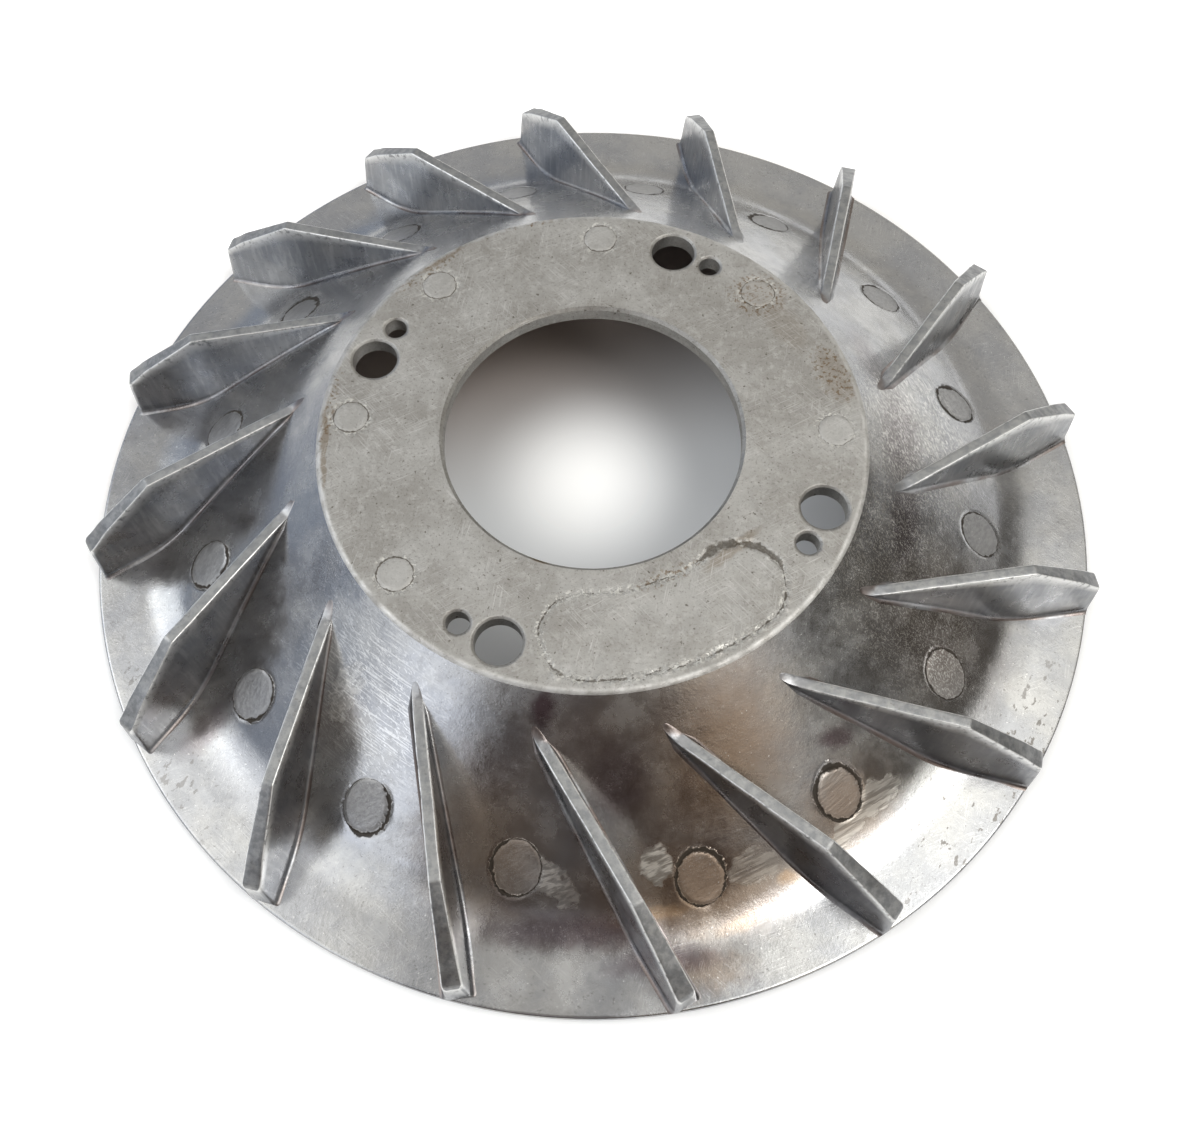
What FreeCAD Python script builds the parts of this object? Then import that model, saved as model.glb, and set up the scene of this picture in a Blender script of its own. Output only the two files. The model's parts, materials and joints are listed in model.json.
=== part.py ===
import FreeCAD, Part
import math
import os

# Cooling-fan wheel that bolts onto a small engine's flywheel: one aluminium die casting.
# Frame: +Z up along the shaft, origin on the axis at the plane of the rim's underside.
# The casting is written as its natural regions, which meet face to face.

V = FreeCAD.Vector
ORIGIN = V(0, 0, 0)
UP = V(0, 0, 1)

# Hub: a flat ring that clamps against the flywheel's face.
HUB_R = 50.4            # radius at which the flat face and the cone would meet
HUB_TOP = 28.0
HUB_THICKNESS = 3.5
HUB_EDGE_ROUND = 1.5
BORE_R = 27.7
BORE_CHAMFER = 0.6

# Holes through the hub, all on one circle: clearance holes and pin holes in pairs.
HOLE_CIRCLE_R = 44.5
HOLE_PAIRS = 4
BOLT_HOLE_R = 4.25
BOLT_HOLE_PHASE = 69.8
PIN_HOLE_R = 2.1
PIN_HOLE_PHASE = 59.6

# Skirt: a cone below the hub that curves out into a nearly flat rim band.
CONE_SLOPE = 0.72       # drop per unit of radius
BAND_SLOPE = 0.05
SKIRT_ARC_R = 20.0
WALL = 2.5
RIM_R = 100.0
RIM_THICKNESS = 2.0

# Blades: straight in plan, swept back from the radial line, drafted on both sides.
BLADES = 16
BLADE_PITCH = 360.0 / BLADES
BLADE_TIP_PHASE = 10.1
BLADE_SWEEP = 18.4      # angle about the axis from the inner end to the tip
BLADE_ROOT_R = 57.4
BLADE_TIP_R = 99.4
BLADE_TOP = 22.9        # height of the top edge at the inner end
BLADE_KNEE_TOP = 22.0
BLADE_TIP_TOP = 11.6
BLADE_KNEE = 0.653      # share of the length at which the top edge starts to slope
BLADE_TIP_LEAN = 1.0    # the end face leans inwards by this much at its top
BLADE_TOP_THICKNESS = 2.0
BLADE_DRAFT = 0.125     # growth of thickness per unit of height, both sides together

# Ejector-pin pads and the gate scar stand slightly proud of the cast surface.
PAD_HEIGHT = 0.3
SKIRT_PAD_R = 4.25
SKIRT_PAD_CIRCLE_R = 76.5
SKIRT_PAD_PHASE = 14.5
# Pads that stand off the regular ring, by number: further out, and further round.
SKIRT_PAD_SHIFTS = {6: (-1.5, -1.5), 7: (-2.0, -1.5), 12: (0.5, -1.0), 13: (3.0, 0.0), 14: (0.0, -1.5)}
HUB_PAD_HEIGHT = 0.2
HUB_PAD_R = 3.25
HUB_PAD_CIRCLE_R = 45.0
HUB_PADS = 6
HUB_PAD_PHASE = 1.0
HUB_PAD_PITCH = 44.0
GATE_CIRCLE_R = 40.5
GATE_HALF_WIDTH = 8.0
GATE_START = 269.4
GATE_END = 310.2

DEEP = 10.0             # how far cutting tools run past the faces they cut

# Worked out from the driving dimensions.
HUB_UNDERSIDE = HUB_TOP - HUB_THICKNESS
CONE_ANGLE = math.atan(CONE_SLOPE)
BAND_ANGLE = math.atan(BAND_SLOPE)
WALL_DROP = WALL / math.cos(CONE_ANGLE)
SPLIT_R = HUB_R + (HUB_THICKNESS - WALL_DROP) / CONE_SLOPE
CORNER_R = (
    HUB_TOP + CONE_SLOPE * HUB_R - RIM_THICKNESS - BAND_SLOPE * RIM_R
) / (CONE_SLOPE - BAND_SLOPE)
ARC_TURN = CONE_ANGLE - BAND_ANGLE
ARC_TANGENT = SKIRT_ARC_R * math.tan(ARC_TURN / 2)
CREASE_R = CORNER_R + ARC_TANGENT * math.cos(BAND_ANGLE)
BLADE_LENGTH = math.sqrt(
    BLADE_ROOT_R ** 2 + BLADE_TIP_R ** 2
    - 2 * BLADE_ROOT_R * BLADE_TIP_R * math.cos(math.radians(BLADE_SWEEP))
)


def cone_z(r):
    """Height of the outer cone's line at radius r."""
    return HUB_TOP - CONE_SLOPE * (r - HUB_R)


def band_z(r):
    """Height of the rim band's top at radius r."""
    return RIM_THICKNESS + BAND_SLOPE * (RIM_R - r)


def section(r, z):
    """A point of the half section, in the XZ plane."""
    return V(r, 0, z)


def at(r, angle_deg, z):
    angle = math.radians(angle_deg)
    return V(r * math.cos(angle), r * math.sin(angle), z)


def line(a, b):
    return Part.LineSegment(a, b).toShape()


def arc(a, middle, b):
    return Part.Arc(a, middle, b).toShape()


def revolve(edges):
    return Part.Face(Part.Wire(edges)).revolve(ORIGIN, UP, 360)


def round_corner(before, corner, after, radius):
    """Start, middle and end of the arc of this radius that rounds a section corner."""
    into = (before - corner).normalize()
    out = (after - corner).normalize()
    half = into.getAngle(out) / 2
    reach = radius / math.tan(half)
    middle_line = (into + out).normalize()
    start = corner + into * reach
    end = corner + out * reach
    middle = corner + middle_line * (radius / math.sin(half) - radius)
    return start, middle, end


def outer_arc():
    """The concave arc between the cone and the rim band, on the outer surface."""
    hub = section(HUB_R, HUB_TOP)
    corner = section(CORNER_R, band_z(CORNER_R))
    rim = section(RIM_R, RIM_THICKNESS)
    return round_corner(hub, corner, rim, SKIRT_ARC_R)


def inner_arc():
    """The same bend on the underside, ending on the floor plane below the crease."""
    top = section(SPLIT_R, HUB_UNDERSIDE)
    corner = section(SPLIT_R + HUB_UNDERSIDE / CONE_SLOPE, 0)
    rim = section(RIM_R, 0)
    radius = (CREASE_R - corner.x) / math.tan(CONE_ANGLE / 2)
    return round_corner(top, corner, rim, radius)


def ring_of(shape, count, pitch, phase=0.0):
    """Copies of a shape turned about the axis."""
    copies = []
    for i in range(count):
        copy = shape.copy()
        copy.rotate(ORIGIN, UP, phase + i * pitch)
        copies.append(copy)
    return copies


def solids_below_surface():
    """Everything below the outer surface, used to seat blades and pads on it."""
    start, middle, end = outer_arc()
    outer = section(RIM_R + DEEP, band_z(RIM_R + DEEP))
    top = section(HUB_R - DEEP, cone_z(HUB_R - DEEP))
    low_out = section(RIM_R + DEEP, -DEEP)
    low_in = section(HUB_R - DEEP, -DEEP)
    return revolve([
        line(top, start),
        arc(start, middle, end),
        line(end, outer),
        line(outer, low_out),
        line(low_out, low_in),
        line(low_in, top),
    ])


def hub_plate():
    rim_of_face = section(SPLIT_R + DEEP, cone_z(SPLIT_R + DEEP))
    start, middle, end = round_corner(
        section(0, HUB_TOP), section(HUB_R, HUB_TOP), rim_of_face, HUB_EDGE_ROUND)
    bore_top = section(BORE_R, HUB_TOP - BORE_CHAMFER)
    bore_low = section(BORE_R, HUB_UNDERSIDE)
    lip = section(BORE_R + BORE_CHAMFER, HUB_TOP)
    edge = section(SPLIT_R, cone_z(SPLIT_R))
    edge_low = section(SPLIT_R, HUB_UNDERSIDE)
    plate = revolve([
        line(bore_low, bore_top),
        line(bore_top, lip),
        line(lip, start),
        arc(start, middle, end),
        line(end, edge),
        line(edge, edge_low),
        line(edge_low, bore_low),
    ])
    pitch = 360.0 / HOLE_PAIRS
    for radius, phase in ((BOLT_HOLE_R, BOLT_HOLE_PHASE), (PIN_HOLE_R, PIN_HOLE_PHASE)):
        drill = Part.makeCylinder(
            radius, HUB_TOP + DEEP, V(HOLE_CIRCLE_R, 0, 0))
        for tool in ring_of(drill, HOLE_PAIRS, pitch, phase):
            plate = plate.cut(tool)
    return plate


def cone_skirt():
    start, middle, end = outer_arc()
    in_start, in_middle, in_end = inner_arc()
    top = section(SPLIT_R, cone_z(SPLIT_R))
    low = section(SPLIT_R, HUB_UNDERSIDE)
    return revolve([
        line(top, start),
        arc(start, middle, end),
        line(end, in_end),
        arc(in_end, in_middle, in_start),
        line(in_start, low),
        line(low, top),
    ])


def rim_band():
    return revolve([
        line(section(CREASE_R, band_z(CREASE_R)), section(RIM_R, RIM_THICKNESS)),
        line(section(RIM_R, RIM_THICKNESS), section(RIM_R, 0)),
        line(section(RIM_R, 0), section(CREASE_R, 0)),
        line(section(CREASE_R, 0), section(CREASE_R, band_z(CREASE_R))),
    ])


def blade_blank():
    """A drafted blade standing along +X from its inner end, before it is seated."""
    knee = BLADE_KNEE * BLADE_LENGTH
    side = Part.makePolygon([
        V(0, -DEEP, 0),
        V(BLADE_LENGTH, -DEEP, 0),
        V(BLADE_LENGTH, -DEEP, RIM_THICKNESS),
        V(BLADE_LENGTH - BLADE_TIP_LEAN, -DEEP, BLADE_TIP_TOP),
        V(knee, -DEEP, BLADE_KNEE_TOP),
        V(0, -DEEP, BLADE_TOP),
        V(0, -DEEP, 0),
    ])
    outline = Part.Face(side).extrude(V(0, 2 * DEEP, 0))
    half_top = BLADE_TOP_THICKNESS / 2
    half_foot = half_top + BLADE_DRAFT * BLADE_TOP / 2
    end = Part.makePolygon([
        V(-DEEP, -half_foot, 0),
        V(-DEEP, half_foot, 0),
        V(-DEEP, half_top, BLADE_TOP),
        V(-DEEP, -half_top, BLADE_TOP),
        V(-DEEP, -half_foot, 0),
    ])
    wedge = Part.Face(end).extrude(V(BLADE_LENGTH + 2 * DEEP, 0, 0))
    return outline.common(wedge)


def blade(below):
    """One blade with its tip at angle zero, seated on the skirt and the band."""
    root = at(BLADE_ROOT_R, -BLADE_SWEEP, 0)
    tip = at(BLADE_TIP_R, 0, 0)
    heading = math.degrees(math.atan2(tip.y - root.y, tip.x - root.x))
    body = blade_blank()
    body.rotate(ORIGIN, UP, heading)
    body.translate(root)
    inside_rim = Part.makeCylinder(RIM_R, HUB_TOP)
    return body.common(inside_rim).cut(below)


def skirt_ejector_pads(below):
    """Round pads, one between each pair of blades, that follow the skirt's slope."""
    raised = below.translated(V(0, 0, PAD_HEIGHT))
    pads = []
    for number in range(1, BLADES + 1):
        further_out, further_round = SKIRT_PAD_SHIFTS.get(number, (0.0, 0.0))
        angle = SKIRT_PAD_PHASE + (number - 1) * BLADE_PITCH + further_round
        centre = at(SKIRT_PAD_CIRCLE_R + further_out, angle, 0)
        post = Part.makeCylinder(SKIRT_PAD_R, HUB_TOP, centre)
        pads.append(post.common(raised).cut(below))
    return pads


def hub_ejector_pads():
    pad = Part.makeCylinder(
        HUB_PAD_R, HUB_PAD_HEIGHT, V(HUB_PAD_CIRCLE_R, 0, HUB_TOP))
    return ring_of(pad, HUB_PADS, HUB_PAD_PITCH, HUB_PAD_PHASE)


def gate_pad():
    """The kidney-shaped scar of the gate, with round ends, on the hub's face."""
    middle = (GATE_START + GATE_END) / 2
    inner_r = GATE_CIRCLE_R - GATE_HALF_WIDTH
    outer_r = GATE_CIRCLE_R + GATE_HALF_WIDTH
    cap = math.degrees(GATE_HALF_WIDTH / GATE_CIRCLE_R)

    def point(r, angle):
        return at(r, angle, HUB_TOP)

    outline = Part.Wire([
        arc(point(inner_r, GATE_START), point(inner_r, middle), point(inner_r, GATE_END)),
        arc(point(inner_r, GATE_END), point(GATE_CIRCLE_R, GATE_END + cap),
            point(outer_r, GATE_END)),
        arc(point(outer_r, GATE_END), point(outer_r, middle), point(outer_r, GATE_START)),
        arc(point(outer_r, GATE_START), point(GATE_CIRCLE_R, GATE_START - cap),
            point(inner_r, GATE_START)),
    ])
    return Part.Face(outline).extrude(V(0, 0, HUB_PAD_HEIGHT))


def write(name, shape):
    shape.exportStep("parts/" + name + ".step")
    print(name, "valid", shape.isValid(), "solids", len(shape.Solids),
          "volume", round(shape.Volume, 1))


def main():
    os.makedirs("parts", exist_ok=True)
    below = solids_below_surface()
    write("hub_plate", hub_plate())
    write("cone_skirt", cone_skirt())
    write("rim_band", rim_band())
    blades = ring_of(blade(below), BLADES, BLADE_PITCH, BLADE_TIP_PHASE)
    for number, shape in enumerate(blades, start=1):
        write("blade_%02d" % number, shape)
    write("skirt_ejector_pads", Part.makeCompound(skirt_ejector_pads(below)))
    write("hub_ejector_pads", Part.makeCompound(hub_ejector_pads()))
    write("gate_pad", gate_pad())
    print("split radius", round(SPLIT_R, 3), "crease radius", round(CREASE_R, 3),
          "blade length", round(BLADE_LENGTH, 3))


main()
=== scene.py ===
import json
import math

import bpy
import numpy as np
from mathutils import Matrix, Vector
from mathutils.geometry import delaunay_2d_cdt


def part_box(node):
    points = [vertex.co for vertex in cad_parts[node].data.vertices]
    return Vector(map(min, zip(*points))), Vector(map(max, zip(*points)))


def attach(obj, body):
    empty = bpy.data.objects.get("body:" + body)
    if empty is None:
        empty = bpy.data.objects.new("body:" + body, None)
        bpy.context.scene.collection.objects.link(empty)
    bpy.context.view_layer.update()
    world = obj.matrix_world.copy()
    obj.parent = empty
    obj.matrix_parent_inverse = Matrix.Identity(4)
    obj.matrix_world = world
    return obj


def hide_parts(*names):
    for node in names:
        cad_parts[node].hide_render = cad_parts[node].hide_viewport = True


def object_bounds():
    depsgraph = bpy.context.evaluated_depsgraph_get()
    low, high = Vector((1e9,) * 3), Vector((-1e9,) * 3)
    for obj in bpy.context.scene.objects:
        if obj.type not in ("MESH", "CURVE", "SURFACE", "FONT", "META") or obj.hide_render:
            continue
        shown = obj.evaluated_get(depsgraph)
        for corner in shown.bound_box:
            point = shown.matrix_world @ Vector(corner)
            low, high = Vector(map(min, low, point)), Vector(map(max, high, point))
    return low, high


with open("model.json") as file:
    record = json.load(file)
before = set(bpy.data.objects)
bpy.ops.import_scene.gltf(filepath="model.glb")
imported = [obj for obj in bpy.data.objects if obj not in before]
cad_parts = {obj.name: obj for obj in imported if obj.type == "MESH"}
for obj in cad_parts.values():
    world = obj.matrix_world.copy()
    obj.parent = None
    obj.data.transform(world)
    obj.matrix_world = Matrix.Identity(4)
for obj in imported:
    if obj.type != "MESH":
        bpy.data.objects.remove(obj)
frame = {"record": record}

MM = 0.001

# How far the visual model stays inside the CAD model, in millimetres.
CLEARANCE = 0.02


def corners(box):
    return [[float(v) for v in corner] for corner in box]


cad_box = corners(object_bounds())

# Sizes, in millimetres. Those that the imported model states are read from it.
mounts = {m["name"]: m for m in frame["record"]["mounts"]}
BORE_R = mounts["centre_bore"]["dims"]["r_mm"]
HOLE_CIRCLE_R = mounts["bolt_holes"]["dims"]["pcd_mm"] / 2
BOLT_HOLE_R = mounts["bolt_holes"]["dims"]["hole_r_mm"]
PIN_HOLE_R = mounts["pin_holes"]["dims"]["hole_r_mm"]
RIM_LOW, RIM_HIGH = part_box("rim_band")
RIM_R = min(-RIM_LOW.x, RIM_HIGH.x, -RIM_LOW.y, RIM_HIGH.y) / MM
HUB_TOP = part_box("hub_plate")[1].z / MM
HUB_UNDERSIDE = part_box("hub_plate")[0].z / MM
HIGHEST = cad_box[1][2] / MM - CLEARANCE
SPLIT_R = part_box("hub_plate")[1].x / MM

HUB_R = 50.4
HUB_EDGE_ROUND = 1.5
BOLT_HOLE_PHASE = 69.8
PIN_HOLE_PHASE = 59.6
CONE_SLOPE = 0.72
BAND_SLOPE = 0.05
SKIRT_ARC_R = 20.0
RIM_THICKNESS = 2.0

BLADES = 16
BLADE_PITCH = 360.0 / BLADES
BLADE_TIP_PHASE = 10.1
BLADE_SWEEP = 18.4
BLADE_ROOT_R = 57.4
BLADE_TIP_R = 99.4
BLADE_TOP = 22.9
BLADE_KNEE_TOP = 22.0
BLADE_TIP_TOP = 11.6
BLADE_KNEE = 0.653
BLADE_TIP_LEAN = 1.0
BLADE_TOP_THICKNESS = 2.0
BLADE_DRAFT = 0.125
BLADE_FILLET = 0.9
CREST_SINK = 0.25
NOSE_LENGTH = 4.6
NOSE_NARROWING = 0.75

PAD_R = 4.25
PAD_CIRCLE_R = 76.5
PAD_PHASE = 14.5
HUB_PAD_R = 3.25
HUB_PAD_CIRCLE_R = 45.0
HUB_PADS = 6
HUB_PAD_PHASE = 1.0
HUB_PAD_PITCH = 44.0
GATE_CIRCLE_R = 40.5
GATE_HALF_WIDTH = 8.0
GATE_START = 269.4
GATE_END = 310.2

CONE_ANGLE = math.atan(CONE_SLOPE)
BAND_ANGLE = math.atan(BAND_SLOPE)
CORNER_R = (
    HUB_TOP + CONE_SLOPE * HUB_R - RIM_THICKNESS - BAND_SLOPE * RIM_R
) / (CONE_SLOPE - BAND_SLOPE)
ARC_TANGENT = SKIRT_ARC_R * math.tan((CONE_ANGLE - BAND_ANGLE) / 2)
ARC_START_R = CORNER_R - ARC_TANGENT * math.cos(CONE_ANGLE)
CREASE_R = CORNER_R + ARC_TANGENT * math.cos(BAND_ANGLE)
INNER_CORNER_R = SPLIT_R + HUB_UNDERSIDE / CONE_SLOPE
INNER_ARC_R = (CREASE_R - INNER_CORNER_R) / math.tan(CONE_ANGLE / 2)


# Seeded noise
def lattice(ix, iy, iz, seed):
    n = (ix * 374761393 + iy * 668265263 + iz * 1442695041 + seed * 974634777) & 0xFFFFFFFF
    n = ((n ^ (n >> 13)) * 1274126177) & 0xFFFFFFFF
    n = n ^ (n >> 16)
    return n / 2147483648.0 - 1.0


def noise(points, size, seed):
    """Smooth value noise from -1 to 1 at points (N x 3, mm), with features of this size."""
    q = points / size
    cell = np.floor(q).astype(np.int64)
    f = q - cell
    f = f * f * (3 - 2 * f)
    total = np.zeros(len(points))
    for dx in (0, 1):
        wx = f[:, 0] if dx else 1 - f[:, 0]
        for dy in (0, 1):
            wy = f[:, 1] if dy else 1 - f[:, 1]
            for dz in (0, 1):
                wz = f[:, 2] if dz else 1 - f[:, 2]
                total += wx * wy * wz * lattice(
                    cell[:, 0] + dx, cell[:, 1] + dy, cell[:, 2] + dz, seed)
    return total


def fractal(points, size, seed, octaves):
    """Noise with ever finer and weaker noise added."""
    total = np.zeros(len(points))
    weight = 1.0
    for octave in range(octaves):
        total += weight * noise(points, size, seed + 17 * octave)
        size *= 0.5
        weight *= 0.5
    return total


def smooth_step(low, high, x):
    t = np.clip((x - low) / (high - low), 0, 1)
    return t * t * (3 - 2 * t)


# The skirt's surface
def cone_z(r):
    return HUB_TOP - CONE_SLOPE * (r - HUB_R)


def band_z(r):
    return RIM_THICKNESS + BAND_SLOPE * (RIM_R - r)


def skirt_z(r):
    """Height of the outer surface at radius r: cone, then arc, then rim band."""
    centre_z = band_z(CREASE_R) + SKIRT_ARC_R * math.cos(BAND_ANGLE)
    centre_r = CREASE_R + SKIRT_ARC_R * math.sin(BAND_ANGLE)
    bend = centre_z - np.sqrt(np.maximum(SKIRT_ARC_R ** 2 - (r - centre_r) ** 2, 0))
    return np.where(r < ARC_START_R, cone_z(r), np.where(r < CREASE_R, bend, band_z(r)))


def underside_z(r):
    """Height of the underside at radius r."""
    cone = HUB_UNDERSIDE - CONE_SLOPE * (r - SPLIT_R)
    start = INNER_CORNER_R - INNER_ARC_R * math.tan(CONE_ANGLE / 2) * math.cos(CONE_ANGLE)
    bend = INNER_ARC_R - np.sqrt(
        np.maximum(INNER_ARC_R ** 2 - (r - CREASE_R) ** 2, 0))
    return np.where(r < start, cone, np.where(r < CREASE_R, bend, 0.0))


# Meshes
SHARP_DEG = 42


def link(name, mesh):
    piece = bpy.data.objects.new(name, mesh)
    bpy.context.scene.collection.objects.link(piece)
    return piece


def finish_piece(name, vertices_mm, faces, marks):
    """A smooth-shaded mesh object; marks are float values per vertex for the materials."""
    mesh = bpy.data.meshes.new(name)
    mesh.from_pydata((np.asarray(vertices_mm) * MM).tolist(), [], faces)
    mesh.update()
    mesh.polygons.foreach_set("use_smooth", np.ones(len(mesh.polygons), bool))
    mesh.set_sharp_from_angle(angle=math.radians(SHARP_DEG))
    for mark, values in marks.items():
        layer = mesh.attributes.new(mark, "FLOAT", "POINT")
        layer.data.foreach_set("value", np.asarray(values, np.float32))
    return link(name, mesh)


def grid_faces(rows, columns, close_rows):
    """Quads of a grid of rows x columns points, numbered row by row, closed along each row."""
    faces = []
    for i in range(rows if close_rows else rows - 1):
        a = i * columns
        b = ((i + 1) % rows) * columns
        for j in range(columns):
            k = (j + 1) % columns
            faces.append((a + k, b + k, b + j, a + j))
    return faces


def spaced(stops):
    """Values running through (start, step) stops up to the last stop's start."""
    values = []
    for (start, step), (end, _) in zip(stops, stops[1:]):
        count = max(1, round((end - start) / step))
        values += [start + (end - start) * i / count for i in range(count)]
    return np.array(values + [stops[-1][0]])


# Ejector pads on the skirt. Each row is one pad, counted like the blades:
# shift outwards and round, lift, tilt and its direction (degrees from outwards,
# turning left), crack width (also how wide the painted shade in the crack is),
# and how crumbly the crack is.
SKIRT_PADS = (
    (0.3, 0.0, -0.05, 0.18, 150, 0.30, 0.8),
    (0.0, -0.2, 0.03, 0.05, 90, 0.28, 0.3),
    (0.0, 0.5, 0.00, 0.22, 120, 0.40, 0.2),
    (-0.5, 0.2, 0.02, 0.06, 200, 0.25, 0.4),
    (-0.4, -0.5, 0.05, 0.08, 260, 0.20, 0.2),
    (-1.5, -1.5, 0.06, 0.10, 240, 0.25, 0.6),
    (-2.0, -1.5, 0.02, 0.10, 250, 0.45, 1.0),
    (-0.6, 0.0, 0.10, 0.10, 200, 0.25, 0.3),
    (-0.3, 0.3, 0.10, 0.15, 120, 0.30, 0.5),
    (0.2, -0.6, 0.02, 0.26, 100, 0.26, 0.1),
    (0.0, 0.0, 0.05, 0.34, 75, 0.36, 0.1),
    (0.5, -1.0, 0.02, 0.10, 300, 0.30, 0.2),
    (3.0, 0.0, 0.00, 0.16, 160, 0.34, 0.2),
    (0.0, -1.5, -0.08, 0.10, 180, 0.42, 0.9),
    (0.4, -0.6, -0.05, 0.08, 150, 0.30, 0.6),
    (0.0, -0.2, 0.03, 0.05, 120, 0.30, 0.2),
)

# A vertex further than this from every pad and scar has nothing to show of them.
FAR_FROM_EDGE = 3.0

# The cast skin's waves: height, size, and the radii over which they start and end.
SKIN_WAVE = 0.05
SKIN_WAVE_SIZE = 14.0
SKIN_WAVE_START = (53, 58)
SKIN_WAVE_END = (95, 99)

PAD_EDGE_IN = 0.3
PAD_EDGE_OUT = 0.1
CRACK_LEAST = 0.03
GROOVE_SIDE = 0.25
RIM_ROUND_TOP = 0.4
RIM_ROUND_LOW = 0.3


def polar(x, y):
    return np.hypot(x, y), np.degrees(np.arctan2(y, x)) % 360


def pad_centres():
    centres = []
    for number, row in enumerate(SKIRT_PADS):
        angle = math.radians(PAD_PHASE + number * BLADE_PITCH + row[1])
        r = PAD_CIRCLE_R + row[0]
        centres.append((r * math.cos(angle), r * math.sin(angle)))
    return centres


def pad_crack(row, toward, coarse):
    """Crack width around a pad, for the groove and for the painted shade in it: wide where the disc
    dips, where the shade is painted as a shadow crescent, narrow where it rises steeply.
    """
    _, _, _, tilt, _, width, crumbly = row
    dip = smooth_step(-0.6, 0.9, toward) * min(1.0, tilt / 0.15)
    steep = min(1.0, max(0.0, (tilt - 0.2) / 0.1))
    opening = width * (0.35 + 0.3 * coarse + 1.1 * dip + 0.5 * crumbly)
    opening *= 1 - 0.55 * steep * (1 - smooth_step(-0.3, 0.5, toward))
    return np.maximum(opening, CRACK_LEAST)


def skirt_relief(x, y):
    """Height added to the skirt, distance to the nearest pad's edge, and the width of the crack's
    painted shade there.
    """
    r = np.hypot(x, y)
    flat = np.stack([x, y, np.zeros_like(x)], axis=1)
    height = SKIN_WAVE * fractal(flat, SKIN_WAVE_SIZE, 3, 2) * smooth_step(*SKIN_WAVE_START, r)
    height *= 1 - smooth_step(*SKIN_WAVE_END, r)
    edge = np.full_like(x, FAR_FROM_EDGE)
    gap = np.zeros_like(x)
    crumb = noise(flat, 1.1, 21)
    coarse = noise(flat, 3.2, 22)
    for (cx, cy), row in zip(pad_centres(), SKIRT_PADS):
        _, _, lift, tilt, tilt_way, _, crumbly = row
        near = np.hypot(x - cx, y - cy) < PAD_R + FAR_FROM_EDGE
        dx = x[near] - cx
        dy = y[near] - cy
        way = math.atan2(cy, cx) + math.radians(tilt_way)
        d = np.hypot(dx, dy)
        toward = (dx * math.cos(way) + dy * math.sin(way)) / PAD_R
        inside = 1 - smooth_step(PAD_R - PAD_EDGE_IN, PAD_R + PAD_EDGE_OUT, d)
        opening = pad_crack(row, toward, coarse[near])
        outline = d - PAD_R - PAD_EDGE_OUT - 0.1 * crumbly * crumb[near]
        groove = 1 - smooth_step(0.2, 1.0, np.abs(outline) / (opening + GROOVE_SIDE))
        height[near] += inside * (lift - tilt * toward)
        height[near] -= (0.05 + 0.35 * opening) * groove
        edge[near] = outline
        gap[near] = opening
    return height, edge, gap


def skirt_lines():
    """Radii and angles of the skirt's grid, closer together around the pads."""
    radii = spaced([(SPLIT_R, 0.8), (70.3, 0.3), (84.3, 0.7), (99.3, 0.2), (99.6, 1)])
    fine = PAD_R + 0.9
    marks = []
    for cx, cy in pad_centres():
        r, angle = polar(cx, cy)
        reach = math.degrees(fine / r)
        marks += [(angle - reach, 0.24), (angle + reach, 0.95)]
    marks.append((marks[0][0] + 360.0, 1))
    return radii, spaced(marks)[:-1]


def skirt_casting():
    radii, angles = skirt_lines()
    turn = np.radians(angles)
    rows = []
    marks = {"edge": [], "gap": []}

    def add(r, z, relief=False):
        x = r * np.cos(turn)
        y = r * np.sin(turn)
        height = np.full_like(x, z)
        edge = np.full_like(x, FAR_FROM_EDGE)
        gap = np.zeros_like(x)
        if relief:
            extra, edge, gap = skirt_relief(x, y)
            height = height + extra
        rows.append(np.stack([x, y, height], axis=1))
        marks["edge"].append(edge)
        marks["gap"].append(gap)

    for r in radii:
        add(r, float(skirt_z(np.array(r))), SPLIT_R + 0.5 < r < RIM_R - RIM_ROUND_LOW)
    for step in (30, 60, 90):
        a = math.radians(step)
        add(RIM_R - RIM_ROUND_TOP * (1 - math.sin(a)),
            RIM_THICKNESS - RIM_ROUND_TOP * (1 - math.cos(a)))
    for step in (90, 60, 30, 0):
        a = math.radians(step)
        add(RIM_R - RIM_ROUND_LOW * (1 - math.sin(a)), RIM_ROUND_LOW * (1 - math.cos(a)))
    for r in spaced([(SPLIT_R, 3.0), (76.0, 1.2), (93.0, 2.5), (98.0, 1)])[::-1]:
        add(r, float(underside_z(np.array(r))))
    vertices = np.concatenate(rows)
    return finish_piece("skirt_casting", vertices, grid_faces(len(rows), len(angles), True),
                        {k: np.concatenate(v) for k, v in marks.items()})


# Hub
HUB_CHAMFER = 0.6
HUB_COLUMNS = 900
HUB_ROW = 0.34
LOWER_CHAMFER = 0.3
HOLE_LIP = 0.25
HOLE_CLEAR = 0.55
HOLE_POINTS = 72
HOLE_RINGS = 13
HOLE_RIDGE = 0.05
PAD_RING_HALF = 0.35
PAD_RING_DEPTH = 0.08
HUB_PAD_LIFT = 0.06


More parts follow.
